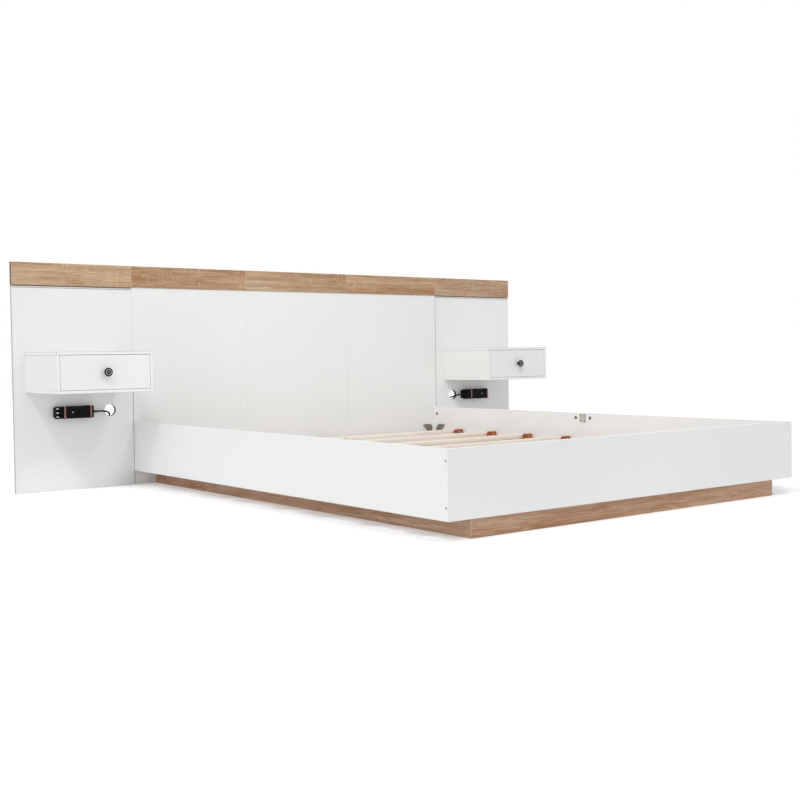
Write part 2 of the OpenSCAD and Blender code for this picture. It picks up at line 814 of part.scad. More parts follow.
// Turned knob: a flared stem and a dished disc with rings, on an axis along Y
module drawer_knob(s) {
    r = knob_d / 2;
    h = knob_out;
    color([0.20, 0.20, 0.22]) translate([stand_mid(s), stand_front, stand_mid_z]) rotate([90, 0, 0])
        rotate_extrude() polygon([
            [0, 0], [knob_stem_r, 0], [knob_stem_r, 2], [knob_waist_r, 6], [knob_stem_r, 11], [r - 4, h - 8],
            [r - 0.5, h - 6], [r, h - 4.5], [r - 0.5, h - 1.5], [r - 2, h - 0.5],
            [r - 4, h], [r - 5, h - 1.2], [r - 7.5, h - 1.2], [r - 8.5, h - 0.4],
            [r - 10, h - 1.6], [3.5, h - 1.6], [2.5, h - 0.6], [0, h - 0.6]
        ]);
}

// Power strips

// A bar along +X with rounded long front edges, its back on the board
module strip_bar(x, l, grow) {
    r = strip_round;
    d = strip_d + grow;
    h = strip_h + 2 * grow;
    translate([x, y_head, strip_z(x)]) rotate([90, 0, 90]) linear_extrude(l) {
        translate([-d + r, -h / 2]) square([d - r, h]);
        translate([-d, -h / 2 + r]) square([d, h - 2 * r]);
        for (c = sides) translate([-d + r, c * (h / 2 - r)]) circle(r = r);
    }
}

module power_strip(x) {
    color(BLACK) strip_bar(x, strip_body_l, 0);
}

// Three round lobes on a foot, and the neck behind them
module lobed_block(x, neck_l) {
    lobe_y = strip_y + lobe_d / 2;
    z = strip_z(x);
    box([x, lobe_y, z - lobe_pitch - lobe_d / 4], [x + lobe_l, y_head, z + lobe_pitch + lobe_d / 4]);
    for (k = [-1:1]) rod_x([x, lobe_y, z + k * lobe_pitch], lobe_d / 2, lobe_l);
    strip_bar(x + lobe_l, neck_l, -1);
}

module strip_end_blocks() {
    color(BLACK) {
        lobed_block(left_strip_x, left_neck_l);
        lobed_block(right_strip_x, right_neck_l);
        strip_bar(left_body_x + strip_body_l + frame_l, strip_cap_l, -0.5);
    }
}

module strip_frames() {
    color([0.70, 0.16, 0.15]) for (x = [left_body_x, right_body_x]) {
        strip_bar(x - frame_l, frame_l, frame_proud);
        strip_bar(x + strip_body_l, frame_l, frame_proud);
    }
}

module strip_lenses() {
    color([0.85, 0.88, 0.90]) {
        rod_y([left_body_x + left_lens_x, strip_y - lens_h, left_strip_z], lens_r, lens_h);
        rod_y([right_body_x + right_lens_x, strip_y - lens_h, right_strip_z], lens_r, lens_h);
    }
}

module strip_reliefs() {
    r = lead_d / 2;
    color(BLACK) {
        translate([left_lead_x - relief_l, y_head - relief_out_left, left_strip_z]) rotate([0, 90, 0]) {
            cylinder(r1 = relief_cone_r, r2 = r + relief_root, h = relief_cone_l);
            cylinder(r1 = r + relief_root, r2 = r + relief_tip, h = relief_l);
        }
        translate([right_lead_x + relief_l, y_head - relief_out_right, right_strip_z]) rotate([0, -90, 0])
            cylinder(r1 = r + relief_root, r2 = r + relief_tip, h = relief_l);
    }
}

module lead(s) {
    p = s < 0 ? lead_left_pts : lead_right_pts;
    color(BLACK) tube(p, lead_d / 2, lead_sides, [1, 0, 0] * -s, [s, 0, 0]);
}

module lead_coil(s) {
    color(BLACK) tube(coil_path(s), lead_d / 2, coil_sides, [s, 0, 0], [-s, 0, 0]);
}

module plug(s) {
    x = s * (coil_cx - coil_tail);
    y = coil_cy + coil_r;
    z = coil_low + coil_pitch;
    body_x = x - s * (plug_neck + plug_r - plug_sink);
    color(BLACK) {
        rod_z([body_x, y, 0], plug_r, plug_h);
        translate([x, y, z]) rotate([0, -s * 90, 0])
            cylinder(r1 = lead_d / 2 + 0.6, r2 = lead_d / 2 + 4, h = plug_neck + plug_sink);
        for (d = sides) rod_z([body_x, y + d * pin_gap / 2, plug_h - 1], pin_d / 2, pin_h + 1);
    }
}

outer_panel(-1);  // panel_left_outer
inner_panel(0);  // panel_left_inner
inner_panel(1);  // panel_middle
inner_panel(2);  // panel_right_inner
outer_panel(1);  // panel_right_outer
top_board(-half_w - outer_panel_w, outer_panel_w, true);  // top_board_left_outer
top_board(board_edges[0], inner_panel_w, false);  // top_board_left_inner
top_board(board_edges[1], inner_panel_w, false);  // top_board_middle
top_board(board_edges[2], inner_panel_w, false);  // top_board_right_inner
top_board(half_w, outer_panel_w, true);  // top_board_right_outer
edge_trims();
panel_dowels();
joining_plates();
headboard_screws();
rail_half(-1, false);  // rail_left_head
rail_half(-1, true);  // rail_left_foot
rail_half(1, false);  // rail_right_head
rail_half(1, true);  // rail_right_foot
footboard();
rail_joint_plates();
rail_cams();
corner_brackets();
slat_ledges();
frame_screws();
slats();
slat_caps();
slat_cap_screws();
plinth_front();
plinth_back();
plinth_sides(-1);  // plinth_sides_left
plinth_sides(1);  // plinth_sides_right
plinth_centre();
spacer_blocks();
stand_top(-1);  // nightstand_left_top
stand_bottom(-1);  // nightstand_left_bottom
stand_sides(-1);  // nightstand_left_sides
stand_top(1);  // nightstand_right_top
stand_bottom(1);  // nightstand_right_bottom
stand_sides(1);  // nightstand_right_sides
drawer_runners();
drawer_front(-1);  // drawer_left_front
drawer_box(-1);  // drawer_left_box
drawer_bottom(-1);  // drawer_left_bottom
drawer_knob(-1);  // drawer_left_knob
drawer_front(1);  // drawer_right_front
drawer_box(1);  // drawer_right_box
drawer_bottom(1);  // drawer_right_bottom
drawer_knob(1);  // drawer_right_knob
power_strip(left_body_x);  // power_strip_left
power_strip(right_body_x);  // power_strip_right
strip_end_blocks();
strip_frames();
strip_lenses();
strip_reliefs();
lead(-1);  // lead_left
lead(1);  // lead_right
lead_coil(-1);  // lead_coil_left
lead_coil(1);  // lead_coil_right
plug(-1);  // plug_left
plug(1);  // plug_right
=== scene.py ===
import math

import bmesh
import bpy
from mathutils import Matrix, Vector


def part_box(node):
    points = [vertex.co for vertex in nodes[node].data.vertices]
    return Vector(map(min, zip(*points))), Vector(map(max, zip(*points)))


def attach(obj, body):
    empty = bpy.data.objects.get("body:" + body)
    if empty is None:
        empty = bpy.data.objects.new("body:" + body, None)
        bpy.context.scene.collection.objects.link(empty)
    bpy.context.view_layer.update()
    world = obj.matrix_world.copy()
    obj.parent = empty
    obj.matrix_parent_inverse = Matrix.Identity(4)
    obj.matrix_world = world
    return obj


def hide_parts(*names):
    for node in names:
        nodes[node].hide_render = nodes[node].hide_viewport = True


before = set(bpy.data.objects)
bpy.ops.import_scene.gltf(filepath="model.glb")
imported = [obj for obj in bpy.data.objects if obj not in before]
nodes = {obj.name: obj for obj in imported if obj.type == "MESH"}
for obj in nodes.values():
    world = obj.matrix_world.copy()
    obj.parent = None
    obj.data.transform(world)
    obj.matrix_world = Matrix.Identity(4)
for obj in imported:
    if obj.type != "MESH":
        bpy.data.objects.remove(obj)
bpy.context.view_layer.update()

# ---------------------------------------------------------------- Camera
# The view stands low, left of the foot end, and looks across the bed to the headboard. Place, turn and
# lens were solved from the long edges of the boards.
camera_place = Vector((-2.9217, -3.5021, 0.5337))
yaw, pitch, roll = math.radians(37.306), math.radians(1.745), math.radians(-0.814)

forward = Vector((math.sin(yaw) * math.cos(pitch), math.cos(yaw) * math.cos(pitch), -math.sin(pitch)))
level_right = Vector((math.cos(yaw), -math.sin(yaw), 0))
level_up = level_right.cross(forward)
camera_right = level_right * math.cos(roll) + level_up * math.sin(roll)
camera_up = -level_right * math.sin(roll) + level_up * math.cos(roll)

camera_data = bpy.data.cameras.new("view")
camera_data.sensor_width = 36
camera_data.lens = 51.447
camera_data.shift_x = 0.01544
camera_data.shift_y = -0.01202
camera = bpy.data.objects.new("view", camera_data)
bpy.context.scene.collection.objects.link(camera)
turn = Matrix((camera_right, camera_up, -forward)).transposed().to_4x4()
camera.matrix_world = Matrix.Translation(camera_place) @ turn
bpy.context.scene.camera = camera

# ---------------------------------------------------------------- Mains leads
# A black round PVC lead of 7 mm leaves each power strip, goes through the cable hole and down behind
# the headboard. The spare length is wound into a neat coil on the floor, two layers high.
lead_diameter = 0.007
lead_left_points = [
    (-1.008, 1.003, 0.320), (-0.991, 1.003, 0.320), (-0.976, 1.004, 0.319), (-0.963, 1.008, 0.3165),
    (-0.952, 1.015, 0.3125), (-0.944, 1.025, 0.308), (-0.938, 1.037, 0.303), (-0.934, 1.049, 0.296),
    (-0.931, 1.059, 0.286), (-0.930, 1.066, 0.273), (-0.929, 1.069, 0.258), (-0.929, 1.069, 0.239),
    (-0.929, 1.067, 0.219), (-0.929, 1.064, 0.198), (-0.929, 1.061, 0.177), (-0.929, 1.059, 0.156),
    (-0.929, 1.057, 0.135), (-0.929, 1.056, 0.114), (-0.929, 1.055, 0.093), (-0.929, 1.054, 0.073),
    (-0.930, 1.053, 0.054), (-0.934, 1.052, 0.037), (-0.942, 1.051, 0.023), (-0.954, 1.050, 0.012),
    (-0.969, 1.050, 0.006), (-0.986, 1.050, 0.0035), (-1.004, 1.050, 0.0035), (-1.022, 1.050, 0.0035),
]
lead_right_points = [
    (0.9835, 0.995, 0.327), (0.973, 0.9955, 0.326), (0.9625, 0.998, 0.3238), (0.9535, 1.003, 0.3208),
    (0.9465, 1.0105, 0.3178), (0.942, 1.020, 0.3148), (0.9395, 1.0305, 0.312), (0.9385, 1.041, 0.3075),
    (0.9375, 1.051, 0.3005), (0.9365, 1.060, 0.290), (0.935, 1.0665, 0.277), (0.9335, 1.070, 0.262),
    (0.932, 1.0705, 0.244), (0.9305, 1.0685, 0.223), (0.929, 1.065, 0.202), (0.929, 1.062, 0.181),
    (0.929, 1.059, 0.160), (0.929, 1.057, 0.139), (0.929, 1.056, 0.118), (0.929, 1.055, 0.097),
    (0.929, 1.054, 0.076), (0.930, 1.053, 0.056), (0.934, 1.052, 0.038), (0.942, 1.051, 0.023),
    (0.954, 1.050, 0.012), (0.969, 1.050, 0.006), (0.986, 1.050, 0.0035), (1.004, 1.050, 0.0035),
    (1.022, 1.050, 0.0035),
]
coil_middle = (1.047, 1.096)
coil_radius = 0.046
coil_step = 0.0075
coil_turns = 4.5
coil_start = (1.040, 1.050, lead_diameter / 2)
coil_end = (1.040, 1.142, 0.011)
points_per_turn = 24


def coil_points(side):
    """Two turns in on the floor, half a turn up, two turns out on top; straight ends."""
    points = [(side * coil_start[0], *coil_start[1:])]
    for i in range(int(coil_turns * points_per_turn) + 1):
        turns = i / points_per_turn
        radius = coil_radius - coil_step * min(turns, coil_turns - turns)
        climb = min(max((turns - 2) / 0.5, 0), 1)
        points.append((side * (coil_middle[0] + radius * math.sin(2 * math.pi * turns)),
                       coil_middle[1] - radius * math.cos(2 * math.pi * turns),
                       lead_diameter / 2 + coil_step * (1 - math.cos(math.pi * climb)) / 2))
    points.append((side * coil_end[0], *coil_end[1:]))
    return points


def shader(tree, kind, inputs=None, **settings):
    """Adds one node; an input is a value or another node's output."""
    item = tree.nodes.new(kind)
    for key, value in settings.items():
        setattr(item, key, value)
    for key, value in (inputs or {}).items():
        if isinstance(value, bpy.types.NodeSocket):
            tree.links.new(value, item.inputs[key])
        else:
            item.inputs[key].default_value = value
    return item


def finish(name, roughness, metallic=0.0, specular=0.5):
    """A new finish with its own shader, still without a pattern."""
    material = bpy.data.materials.new(name)
    material.use_nodes = True
    surface = material.node_tree.nodes["Principled BSDF"]
    surface.inputs["Roughness"].default_value = roughness
    surface.inputs["Metallic"].default_value = metallic
    surface.inputs["Specular IOR Level"].default_value = specular
    return material, material.node_tree, surface


def colour(red, green, blue):
    """A screen colour of 0 to 255 as the linear one that Blender reads."""
    linear = [(c / 255 / 12.92) if c <= 10 else ((c / 255 + 0.055) / 1.055) ** 2.4
              for c in (red, green, blue)]
    return (*linear, 1.0)


def stretched(tree, scale, offset=(0, 0, 0)):
    """The piece's own coordinates in metres, stretched and moved for a pattern."""
    place = shader(tree, "ShaderNodeTexCoord").outputs["Object"]
    mapped = shader(tree, "ShaderNodeMapping", {"Vector": place, "Scale": scale, "Location": offset})
    return mapped.outputs["Vector"]


def noise(tree, vector, scale=1.0, detail=3.0, roughness=0.5):
    return shader(tree, "ShaderNodeTexNoise", {"Vector": vector, "Scale": scale, "Detail": detail,
                                               "Roughness": roughness}).outputs["Fac"]


def ramp(tree, value, stops):
    """A ramp of (place, colour) stops."""
    item = shader(tree, "ShaderNodeValToRGB", {"Fac": value})
    while len(item.color_ramp.elements) < len(stops):
        item.color_ramp.elements.new(0.5)
    for element, (place, tone) in zip(item.color_ramp.elements, stops):
        element.position = place
        element.color = tone
    return item.outputs["Color"]


def bump(tree, surface, height, strength, distance):
    relief = shader(tree, "ShaderNodeBump", {"Height": height, "Strength": strength, "Distance": distance})
    tree.links.new(relief.outputs["Normal"], surface.inputs["Normal"])


def mottled(name, dark, light, scale, detail=3, roughness=0.5, metallic=0.0, specular=0.5,
            stretch=(1, 1, 1), dark_end=0.3, relief=None):
    """A finish whose colour wanders between two tones; relief is the strength and depth of its bump."""
    material, tree, surface = finish(name, roughness, metallic, specular)
    grain = noise(tree, stretched(tree, stretch), scale, detail)
    tone = ramp(tree, grain, [(dark_end, colour(*dark)), (0.7, colour(*light))])
    tree.links.new(tone, surface.inputs["Base Color"])
    if relief:
        bump(tree, surface, grain, *relief)
    return material


sheath = mottled("lead_sheath", (14, 14, 15), (24, 24, 26), scale=900, detail=4, roughness=0.6,
                 specular=0.15, dark_end=0.35, relief=(0.25, 0.0003))

# The round angled plug lies on its back beside the coil: a turned body with a grip edge, a soft neck
# over the lead, and two nickel pins.
plug_metal = mottled("plug_pins", (176, 174, 168), (204, 202, 196), scale=2500, roughness=0.3,
                     metallic=1.0, stretch=(1, 1, 0.05))


def turned(profile, sides=64):
    """A bmesh turned about Z from (radius, height) pairs that start and end on the axis."""
    form = bmesh.new()
    rings = []
    for radius, height in profile:
        if radius < 1e-6:
            rings.append([form.verts.new((0, 0, height))])
        else:
            angles = [2 * math.pi * k / sides for k in range(sides)]
            rings.append([form.verts.new((radius * math.cos(angle), radius * math.sin(angle), height))
                          for angle in angles])
    for below, above in zip(rings, rings[1:]):
        for k in range(sides):
            n = (k + 1) % sides
            if len(below) == 1:
                form.faces.new((below[0], above[n], above[k]))
            elif len(above) == 1:
                form.faces.new((below[k], below[n], above[0]))
            else:
                form.faces.new((below[k], below[n], above[n], above[k]))
    bmesh.ops.recalc_face_normals(form, faces=form.faces)
    return form


def piece(name, form, material, smooth=30):
    """Turns a bmesh into a piece of the object; edges sharper than smooth degrees stay sharp."""
    mesh = bpy.data.meshes.new(name)
    form.to_mesh(mesh)
    form.free()
    for face in mesh.polygons:
        face.use_smooth = True
    mesh.set_sharp_from_angle(angle=math.radians(smooth))
    mesh.materials.append(material)
    made = bpy.data.objects.new(name, mesh)
    bpy.context.scene.collection.objects.link(made)
    return made


def moved(form, matrix):
    bmesh.ops.transform(form, matrix=matrix, verts=form.verts)
    return form


def joined(forms):
    """Several bmeshes as one."""
    whole = forms[0]
    for part in forms[1:]:
        temporary = bpy.data.meshes.new("part")
        part.to_mesh(temporary)
        part.free()
        whole.from_mesh(temporary)
        bpy.data.meshes.remove(temporary)
    return whole


plug_offset = 1.000
plug_height = 0.022
pin_spacing = 0.019
for side, word, points in ((-1, "left", lead_left_points), (1, "right", lead_right_points)):
    route = points + coil_points(side)
    line = bpy.data.curves.new("mains_lead_" + word, "CURVE")
    line.dimensions = "3D"
    line.bevel_depth = lead_diameter / 2
    line.bevel_resolution = 4
    line.use_fill_caps = True
    spline = line.splines.new("POLY")
    spline.points.add(len(route) - 1)
    for point, place in zip(spline.points, route):
        point.co = (*place, 1)
    spline.use_smooth = True
    line.materials.append(sheath)
    lead = bpy.data.objects.new("mains_lead_" + word, line)
    bpy.context.scene.collection.objects.link(lead)
    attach(lead, "bed")
    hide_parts("lead_" + word, "lead_coil_" + word)

    plug_x, plug_y = side * plug_offset, coil_end[1]
    body = turned([(0, 0), (0.0165, 0), (0.0180, 0.0006), (0.019, 0.0018), (0.019, 0.0145),
                   (0.0184, 0.0150), (0.0184, 0.0165), (0.019, 0.0170), (0.019, 0.0200), (0.0182, 0.0214),
                   (0.0165, plug_height), (0, plug_height)])
    moved(body, Matrix.Translation((plug_x, plug_y, 0)))
    neck = turned([(0, 0), (0.0041, 0), (0.0042, 0.004), (0.0050, 0.0044), (0.0050, 0.0070), (0.0045, 0.0074),
                   (0.0046, 0.0100), (0.0056, 0.0104), (0.0056, 0.0130), (0.0052, 0.0134), (0.0054, 0.0160),
                   (0.0064, 0.0164), (0.0064, 0.0190), (0.0062, 0.0194), (0.0075, 0.029), (0, 0.029)],
                  sides=32)
    lying = Matrix.Rotation(-side * math.pi / 2, 4, "Y")
    moved(neck, Matrix.Translation((side * coil_end[0], *coil_end[1:])) @ lying)
    plug_body = piece("plug_body_" + word, joined([body, neck]), sheath)
    pins = []
    for way in (-1, 1):
        pin = turned([(0, 0), (0.0024, 0), (0.0024, 0.0175), (0.0021, 0.0187), (0.0013, 0.019),
                      (0, 0.019)], sides=24)
        pin_place = (plug_x, plug_y + way * pin_spacing / 2, plug_height)
        pins.append(moved(pin, Matrix.Translation(pin_place)))
    plug_pins = piece("plug_pins_" + word, joined(pins), plug_metal)
    for part, slot in ((plug_body, "lead_sheath"), (plug_pins, "screw_steel")):
        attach(part, "bed")
    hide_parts("plug_" + word)

# ---------------------------------------------------------------- White boards of the headboard
# Five chipboard panels faced with white melamine stand side by side on the floor. Their cut edges
# are banded with white strip, whose glue line shows as a hairline along every edge.
board_round = 0.0008
outer_round = 0.0012
panel_front_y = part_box("panel_middle")[0].y
panel_back_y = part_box("panel_middle")[1].y
inner_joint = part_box("panel_middle")[1].x
outer_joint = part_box("panel_right_outer")[0].x

white_face, white_tree, white_surface = finish("white_melamine", roughness=0.38)
white_place = stretched(white_tree, (1, 1, 1))
white_cloud = noise(white_tree, white_place, scale=1.7, detail=3)
white_tone = ramp(white_tree, white_cloud, [(0.3, colour(238, 238, 236)), (0.7, colour(241, 241, 240))])
white_tree.links.new(white_tone, white_surface.inputs["Base Color"])
white_press = noise(white_tree, white_place, scale=1400, detail=2)
bump(white_tree, white_surface, white_press, strength=0.12, distance=0.0002)

white_band = mottled("white_edge_band", (240, 240, 238), (243, 243, 242), scale=900, detail=2,
                     roughness=0.32, relief=(0.15, 0.0002))
glue_line = mottled("glue_line", (222, 221, 217), (231, 230, 227), scale=300, roughness=0.45)


def banded_board(node, thin_axes, surface, band, line, rounding=board_round, end=None, outward=0,
                 special=None):
    """A copy of a CAD board with rounded long edges: broad faces, banded edges and the line between them.

    end is the finish of the end face that looks along X to the side outward, if it has its own.
    special is (finish, test of a face's middle and normal) for faces with a finish of their own."""
    form = bmesh.new()
    form.from_mesh(nodes[node].data)
    bmesh.ops.remove_doubles(form, verts=form.verts, dist=1e-5)
    bmesh.ops.dissolve_limit(form, angle_limit=math.radians(0.5), verts=form.verts, edges=form.edges)
    long_edges = []
    for edge in form.edges:
        along = edge.verts[1].co - edge.verts[0].co
        straight = sorted(abs(c) for c in along)[1] < 1e-5
        corner = len(edge.link_faces) == 2 and abs(edge.calc_face_angle(0)) > math.radians(69)
        if straight and corner and along.length > 0.012:
            long_edges.append(edge)
    bmesh.ops.bevel(form, geom=long_edges, offset=rounding, offset_type="OFFSET", segments=2,
                    profile=0.5, affect="EDGES", clamp_overlap=True)
    for face in form.faces:
        normal = face.normal
        main = max(range(3), key=lambda i: abs(normal[i]))
        if abs(normal[main]) < 0.98:
            face.material_index = 2
        elif end and main == 0 and normal.x * outward > 0.9:
            face.material_index = 3
        else:
            face.material_index = 0 if main in thin_axes else 1
        if special and special[1](face.calc_center_median(), normal):
            face.material_index = 4
    mesh = bpy.data.meshes.new("dressed_" + node)
    for face in form.faces:
        face.smooth = face.material_index in (2, 4) and face.calc_area() < 0.004
    for edge in form.edges:
        edge.smooth = all(face.smooth for face in edge.link_faces)
    form.to_mesh(mesh)
    form.free()
    for material in (surface, band, line, end or band, special[0] if special else band):
        mesh.materials.append(material)
    made = bpy.data.objects.new("dressed_" + node, mesh)
    bpy.context.scene.collection.objects.link(made)
    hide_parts(node)
    return made


# The outer panels' outward end faces get a grey band, darker than the white: painted shade on the end.
shaded_end_band = mottled("shaded_end_band", (176, 175, 171), (192, 191, 188), scale=1, stretch=(1, 400, 30))


def blended(tree, share, below, above):
    """One colour laid over another by a share."""
    mix = shader(tree, "ShaderNodeMix", {0: share, "A": below, "B": above}, data_type="RGBA")
    return mix.outputs["Result"]


def maths(tree, operation, *values, **settings):
    """The result of one Math node on one to three values."""
    return shader(tree, "ShaderNodeMath", dict(enumerate(values)), operation=operation, **settings).outputs[0]


# The walls of the cable holes and the joint edges of the outer panels are cut raw and look dark. The top
# roundings of the inner panels, under the oak boards, get the same dark tone as painted shadow. The left
# outer joint is drawn light above 0.42 m.
raw_board_and_painted_shadow, raw_tree, raw_surface = finish("raw_chipboard_and_painted_shadow", roughness=0.8, specular=0.2)
raw_chips = noise(raw_tree, stretched(raw_tree, (1, 1, 1)), scale=500, detail=4)
raw_and_shadow_dark = ramp(raw_tree, raw_chips, [(0.3, colour(62, 58, 52)), (0.7, colour(92, 86, 77))])
raw_spot = shader(raw_tree, "ShaderNodeSeparateXYZ", {"Vector": stretched(raw_tree, (1, 1, 1))})
# Above this height and left of this x the raw tone is light, so the upper part of the left outer joint is
# drawn light.
light_joint_from_z = 0.42
light_joint_to_x = -0.8
light_joint = maths(raw_tree, "MULTIPLY", maths(raw_tree, "GREATER_THAN", raw_spot.outputs["Z"], light_joint_from_z),
               maths(raw_tree, "LESS_THAN", raw_spot.outputs["X"], light_joint_to_x))
raw_tree.links.new(blended(raw_tree, light_joint, raw_and_shadow_dark, colour(227, 226, 223)),
                   raw_surface.inputs["Base Color"])
cable_holes = ((-0.942, 0.322), (0.948, 0.327))
cable_hole_reach = 0.0262
shadow_under_oak_from_z = 0.83


def raw_or_shaded_edge(middle, normal):
    """Whether a face is a hole's wall, a raw joint edge's rounding or an inner panel's top rounding, which
    gets painted shadow.
    """
    round_hole = any(math.hypot(middle.x - x, middle.z - z) < cable_hole_reach for x, z in cable_holes)
    rounding = max(abs(c) for c in normal) < 0.98
    at_joint = abs(abs(middle.x) - outer_joint) < 0.0016
    # An inner panel's top rounding, just under its oak board, is darkened as painted shadow.
    shadow_under_oak = abs(middle.x) < outer_joint - 0.001 and middle.z > shadow_under_oak_from_z
    return (round_hole and abs(normal.y) < 0.98) or (rounding and (at_joint or shadow_under_oak))


for node, outward in (("panel_left_outer", -1), ("panel_left_inner", 0), ("panel_middle", 0),
                      ("panel_right_inner", 0), ("panel_right_outer", 1)):
    rounding = outer_round if outward else board_round
    panel = banded_board(node, (1,), white_face, white_band, glue_line, rounding, end=shaded_end_band,
                         outward=outward, special=(raw_board_and_painted_shadow, raw_or_shaded_edge))
    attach(panel, "bed")

# ---------------------------------------------------------------- Oak top boards
# Five lighter boards with a sawn-oak decor sit on top of the panels, their grain running across the bed.
# The decor shows long pores, flamed rings, a few dark streaks and faint upright saw marks.

# Where each board is cut from the decor, and its share of the decor's red, green and blue
oak_cuts = {
    "top_board_left_outer": (0.0, (1.04, 1.04, 1.04)),
    "top_board_left_inner": (3.1, (0.91, 0.84, 0.80)),
    "top_board_middle": (7.7, (0.95, 0.95, 0.95)),
    "top_board_right_inner": (12.9, (0.94, 0.88, 0.82)),
    "top_board_right_outer": (17.3, (0.96, 0.96, 0.97)),
}
oak_round = 0.0007


def grey(value):
    return (value, value, value, 1.0)


def layer(tree, tone, pattern, stops, above):
    """A tone with another laid on by a pattern; stops are (place, share) pairs."""
    shares = ramp(tree, pattern, [(place, grey(share)) for place, share in stops])
    return blended(tree, shares, tone, above)


def oak_decor(name, shift, share, along=0, roughness=0.55, saws=0.6):
    """Sawn-oak foil for a board whose grain runs along X, or along Y with along 1.

    saws is the share of the saw marks."""
    decor, tree, surface = finish(name, roughness, specular=0.3)

    def grain(length, width, detail, move=(0, 0, 0), rough=0.55):
        scale = (length, width, width) if along == 0 else (width, length, width)
        offset = (shift + move[0], shift * 1.37 + move[1], move[2])
        return noise(tree, stretched(tree, scale, offset), detail=detail, roughness=rough)

    def oak(red, green, blue):
        tone = colour(red, green, blue)
        return (*(min(1.0, c * part) for c, part in zip(tone, share)), 1.0)

    bands = grain(2.4, 55, 5)
    reds = grain(1.7, 17, 4, (5, 2, 0))
    pores = grain(22, 560, 5, (0, 0, 4), 0.65)
    lines = grain(1.4, 120, 4, (0, 3, 0), 0.6)
    flames = grain(8, 150, 4, (7, 0, 2), 0.7)
    flecks = grain(14, 260, 3, (3, 0, 6), 0.6)
    saw_scale = (330, 30, 52) if along == 0 else (30, 330, 52)
    saw = noise(tree, stretched(tree, saw_scale, (shift, 0, shift)), detail=2)
    saw_field = grain(6, 14, 2, (9, 0, 0))
    tone = ramp(tree, bands, [(0.30, oak(171, 138, 107)), (0.5, oak(192, 161, 130)),
                              (0.70, oak(208, 182, 154))])
    tone = layer(tree, tone, reds, [(0.50, 0), (0.66, 0.75)], oak(168, 122, 84))
    tone = layer(tree, tone, flames, [(0.36, 0.65), (0.49, 0)], oak(156, 114, 80))
    tone = layer(tree, tone, flecks, [(0.55, 0), (0.68, 0.6)], oak(222, 197, 166))
    tone = layer(tree, tone, lines, [(0.30, 0.5), (0.44, 0)], oak(158, 116, 82))
    tone = layer(tree, tone, pores, [(0.30, 0.4), (0.46, 0)], oak(134, 100, 72))
    saw_share = maths(tree, "MULTIPLY", ramp(tree, saw, [(0.52, grey(0)), (0.66, grey(saws))]),
                      ramp(tree, saw_field, [(0.50, grey(0)), (0.62, grey(1))]))
    tone = blended(tree, saw_share, tone, oak(222, 196, 164))
    tree.links.new(tone, surface.inputs["Base Color"])
    bump(tree, surface, pores, strength=0.25, distance=0.0003)
    return decor


# The oak boards' roundings are lighter than their faces: a painted highlight where the edges catch the light.
oak_edge_highlight = mottled("oak_edge_highlight", (214, 186, 154), (230, 208, 180), scale=1, roughness=0.6,
                        stretch=(60, 500, 500))
# The outward end faces of the outer oak boards are dark brown: painted shade on the end.
shaded_oak_end = mottled("shaded_oak_end", (92, 80, 70), (120, 105, 90), scale=1, detail=4, roughness=0.65,
                  stretch=(400, 60, 400))

for node, (shift, share) in oak_cuts.items():
    decor = oak_decor("oak_" + node, shift, share)
    outward = {"top_board_left_outer": -1, "top_board_right_outer": 1}.get(node, 0)
    board = banded_board(node, (1,), decor, decor, oak_edge_highlight, oak_round, end=shaded_oak_end, outward=outward)
    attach(board, "bed")

# ---------------------------------------------------------------- Edge profiles and dowels
# A white plastic profile caps the top edge of each outer panel, under the shadow gap.
# Beech dowels, out of sight, pin every top board to its panel.
profile_plastic = mottled("edge_profile", (226, 226, 224), (234, 234, 232), scale=1, roughness=0.42,
                          stretch=(3, 400, 400), relief=(0.1, 0.0002))
# The profile's rounded edges are dark grey: painted shadow along the gap above it and under its lower edge.
profile_shadow_line = mottled("profile_shadow_line", (84, 83, 80), (104, 103, 100), scale=1, roughness=0.6,
                       stretch=(3, 400, 400))
profiles = banded_board("edge_trims", (1,), profile_plastic, profile_plastic, profile_shadow_line,
                        rounding=0.0012)
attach(profiles, "bed")

dowel_wood = mottled("dowel_beech", (206, 172, 132), (226, 198, 160), scale=1, detail=4, roughness=0.6,
                     stretch=(500, 500, 20))


def coat(node, material):
    """Gives a solid of the frame its finish."""
    nodes[node].data.materials.clear()
    nodes[node].data.materials.append(material)


coat("panel_dowels", dowel_wood)

# ---------------------------------------------------------------- Steel plates, brackets and screws
# Zinc-plated plates bridge the four board joints, in two rows. Screws hold them and, through the outer
# panels, the two nightstands. The frame's joint plates and corner brackets are of pressed steel too.
galvanised, galv_tree, galv_surface = finish("galvanised_steel", roughness=0.42, metallic=1.0)
galv_place = stretched(galv_tree, (1, 1, 1))
galv_flakes = shader(galv_tree, "ShaderNodeTexVoronoi",
                     {"Vector": galv_place, "Scale": 260.0, "Randomness": 1.0})
galv_tone = ramp(galv_tree, galv_flakes.outputs["Color"],
                 [(0.2, colour(168, 170, 173)), (0.8, colour(196, 198, 200))])
galv_tree.links.new(galv_tone, galv_surface.inputs["Base Color"])
galv_spots = noise(galv_tree, galv_place, scale=120, detail=4)
galv_wear = ramp(galv_tree, galv_spots, [(0.3, grey(0.34)), (0.7, grey(0.5))])
galv_tree.links.new(galv_wear, galv_surface.inputs["Roughness"])

bracket_steel = mottled("bracket_steel", (134, 125, 117), (164, 155, 146), scale=60, detail=4,
                        metallic=0.5)
joint_plate_steel = mottled("joint_plate_steel", (190, 190, 180), (208, 208, 198), scale=90, detail=4,
                            metallic=0.3)
coat("joining_plates", galvanised)
coat("rail_joint_plates", joint_plate_steel)
coat("corner_brackets", bracket_steel)

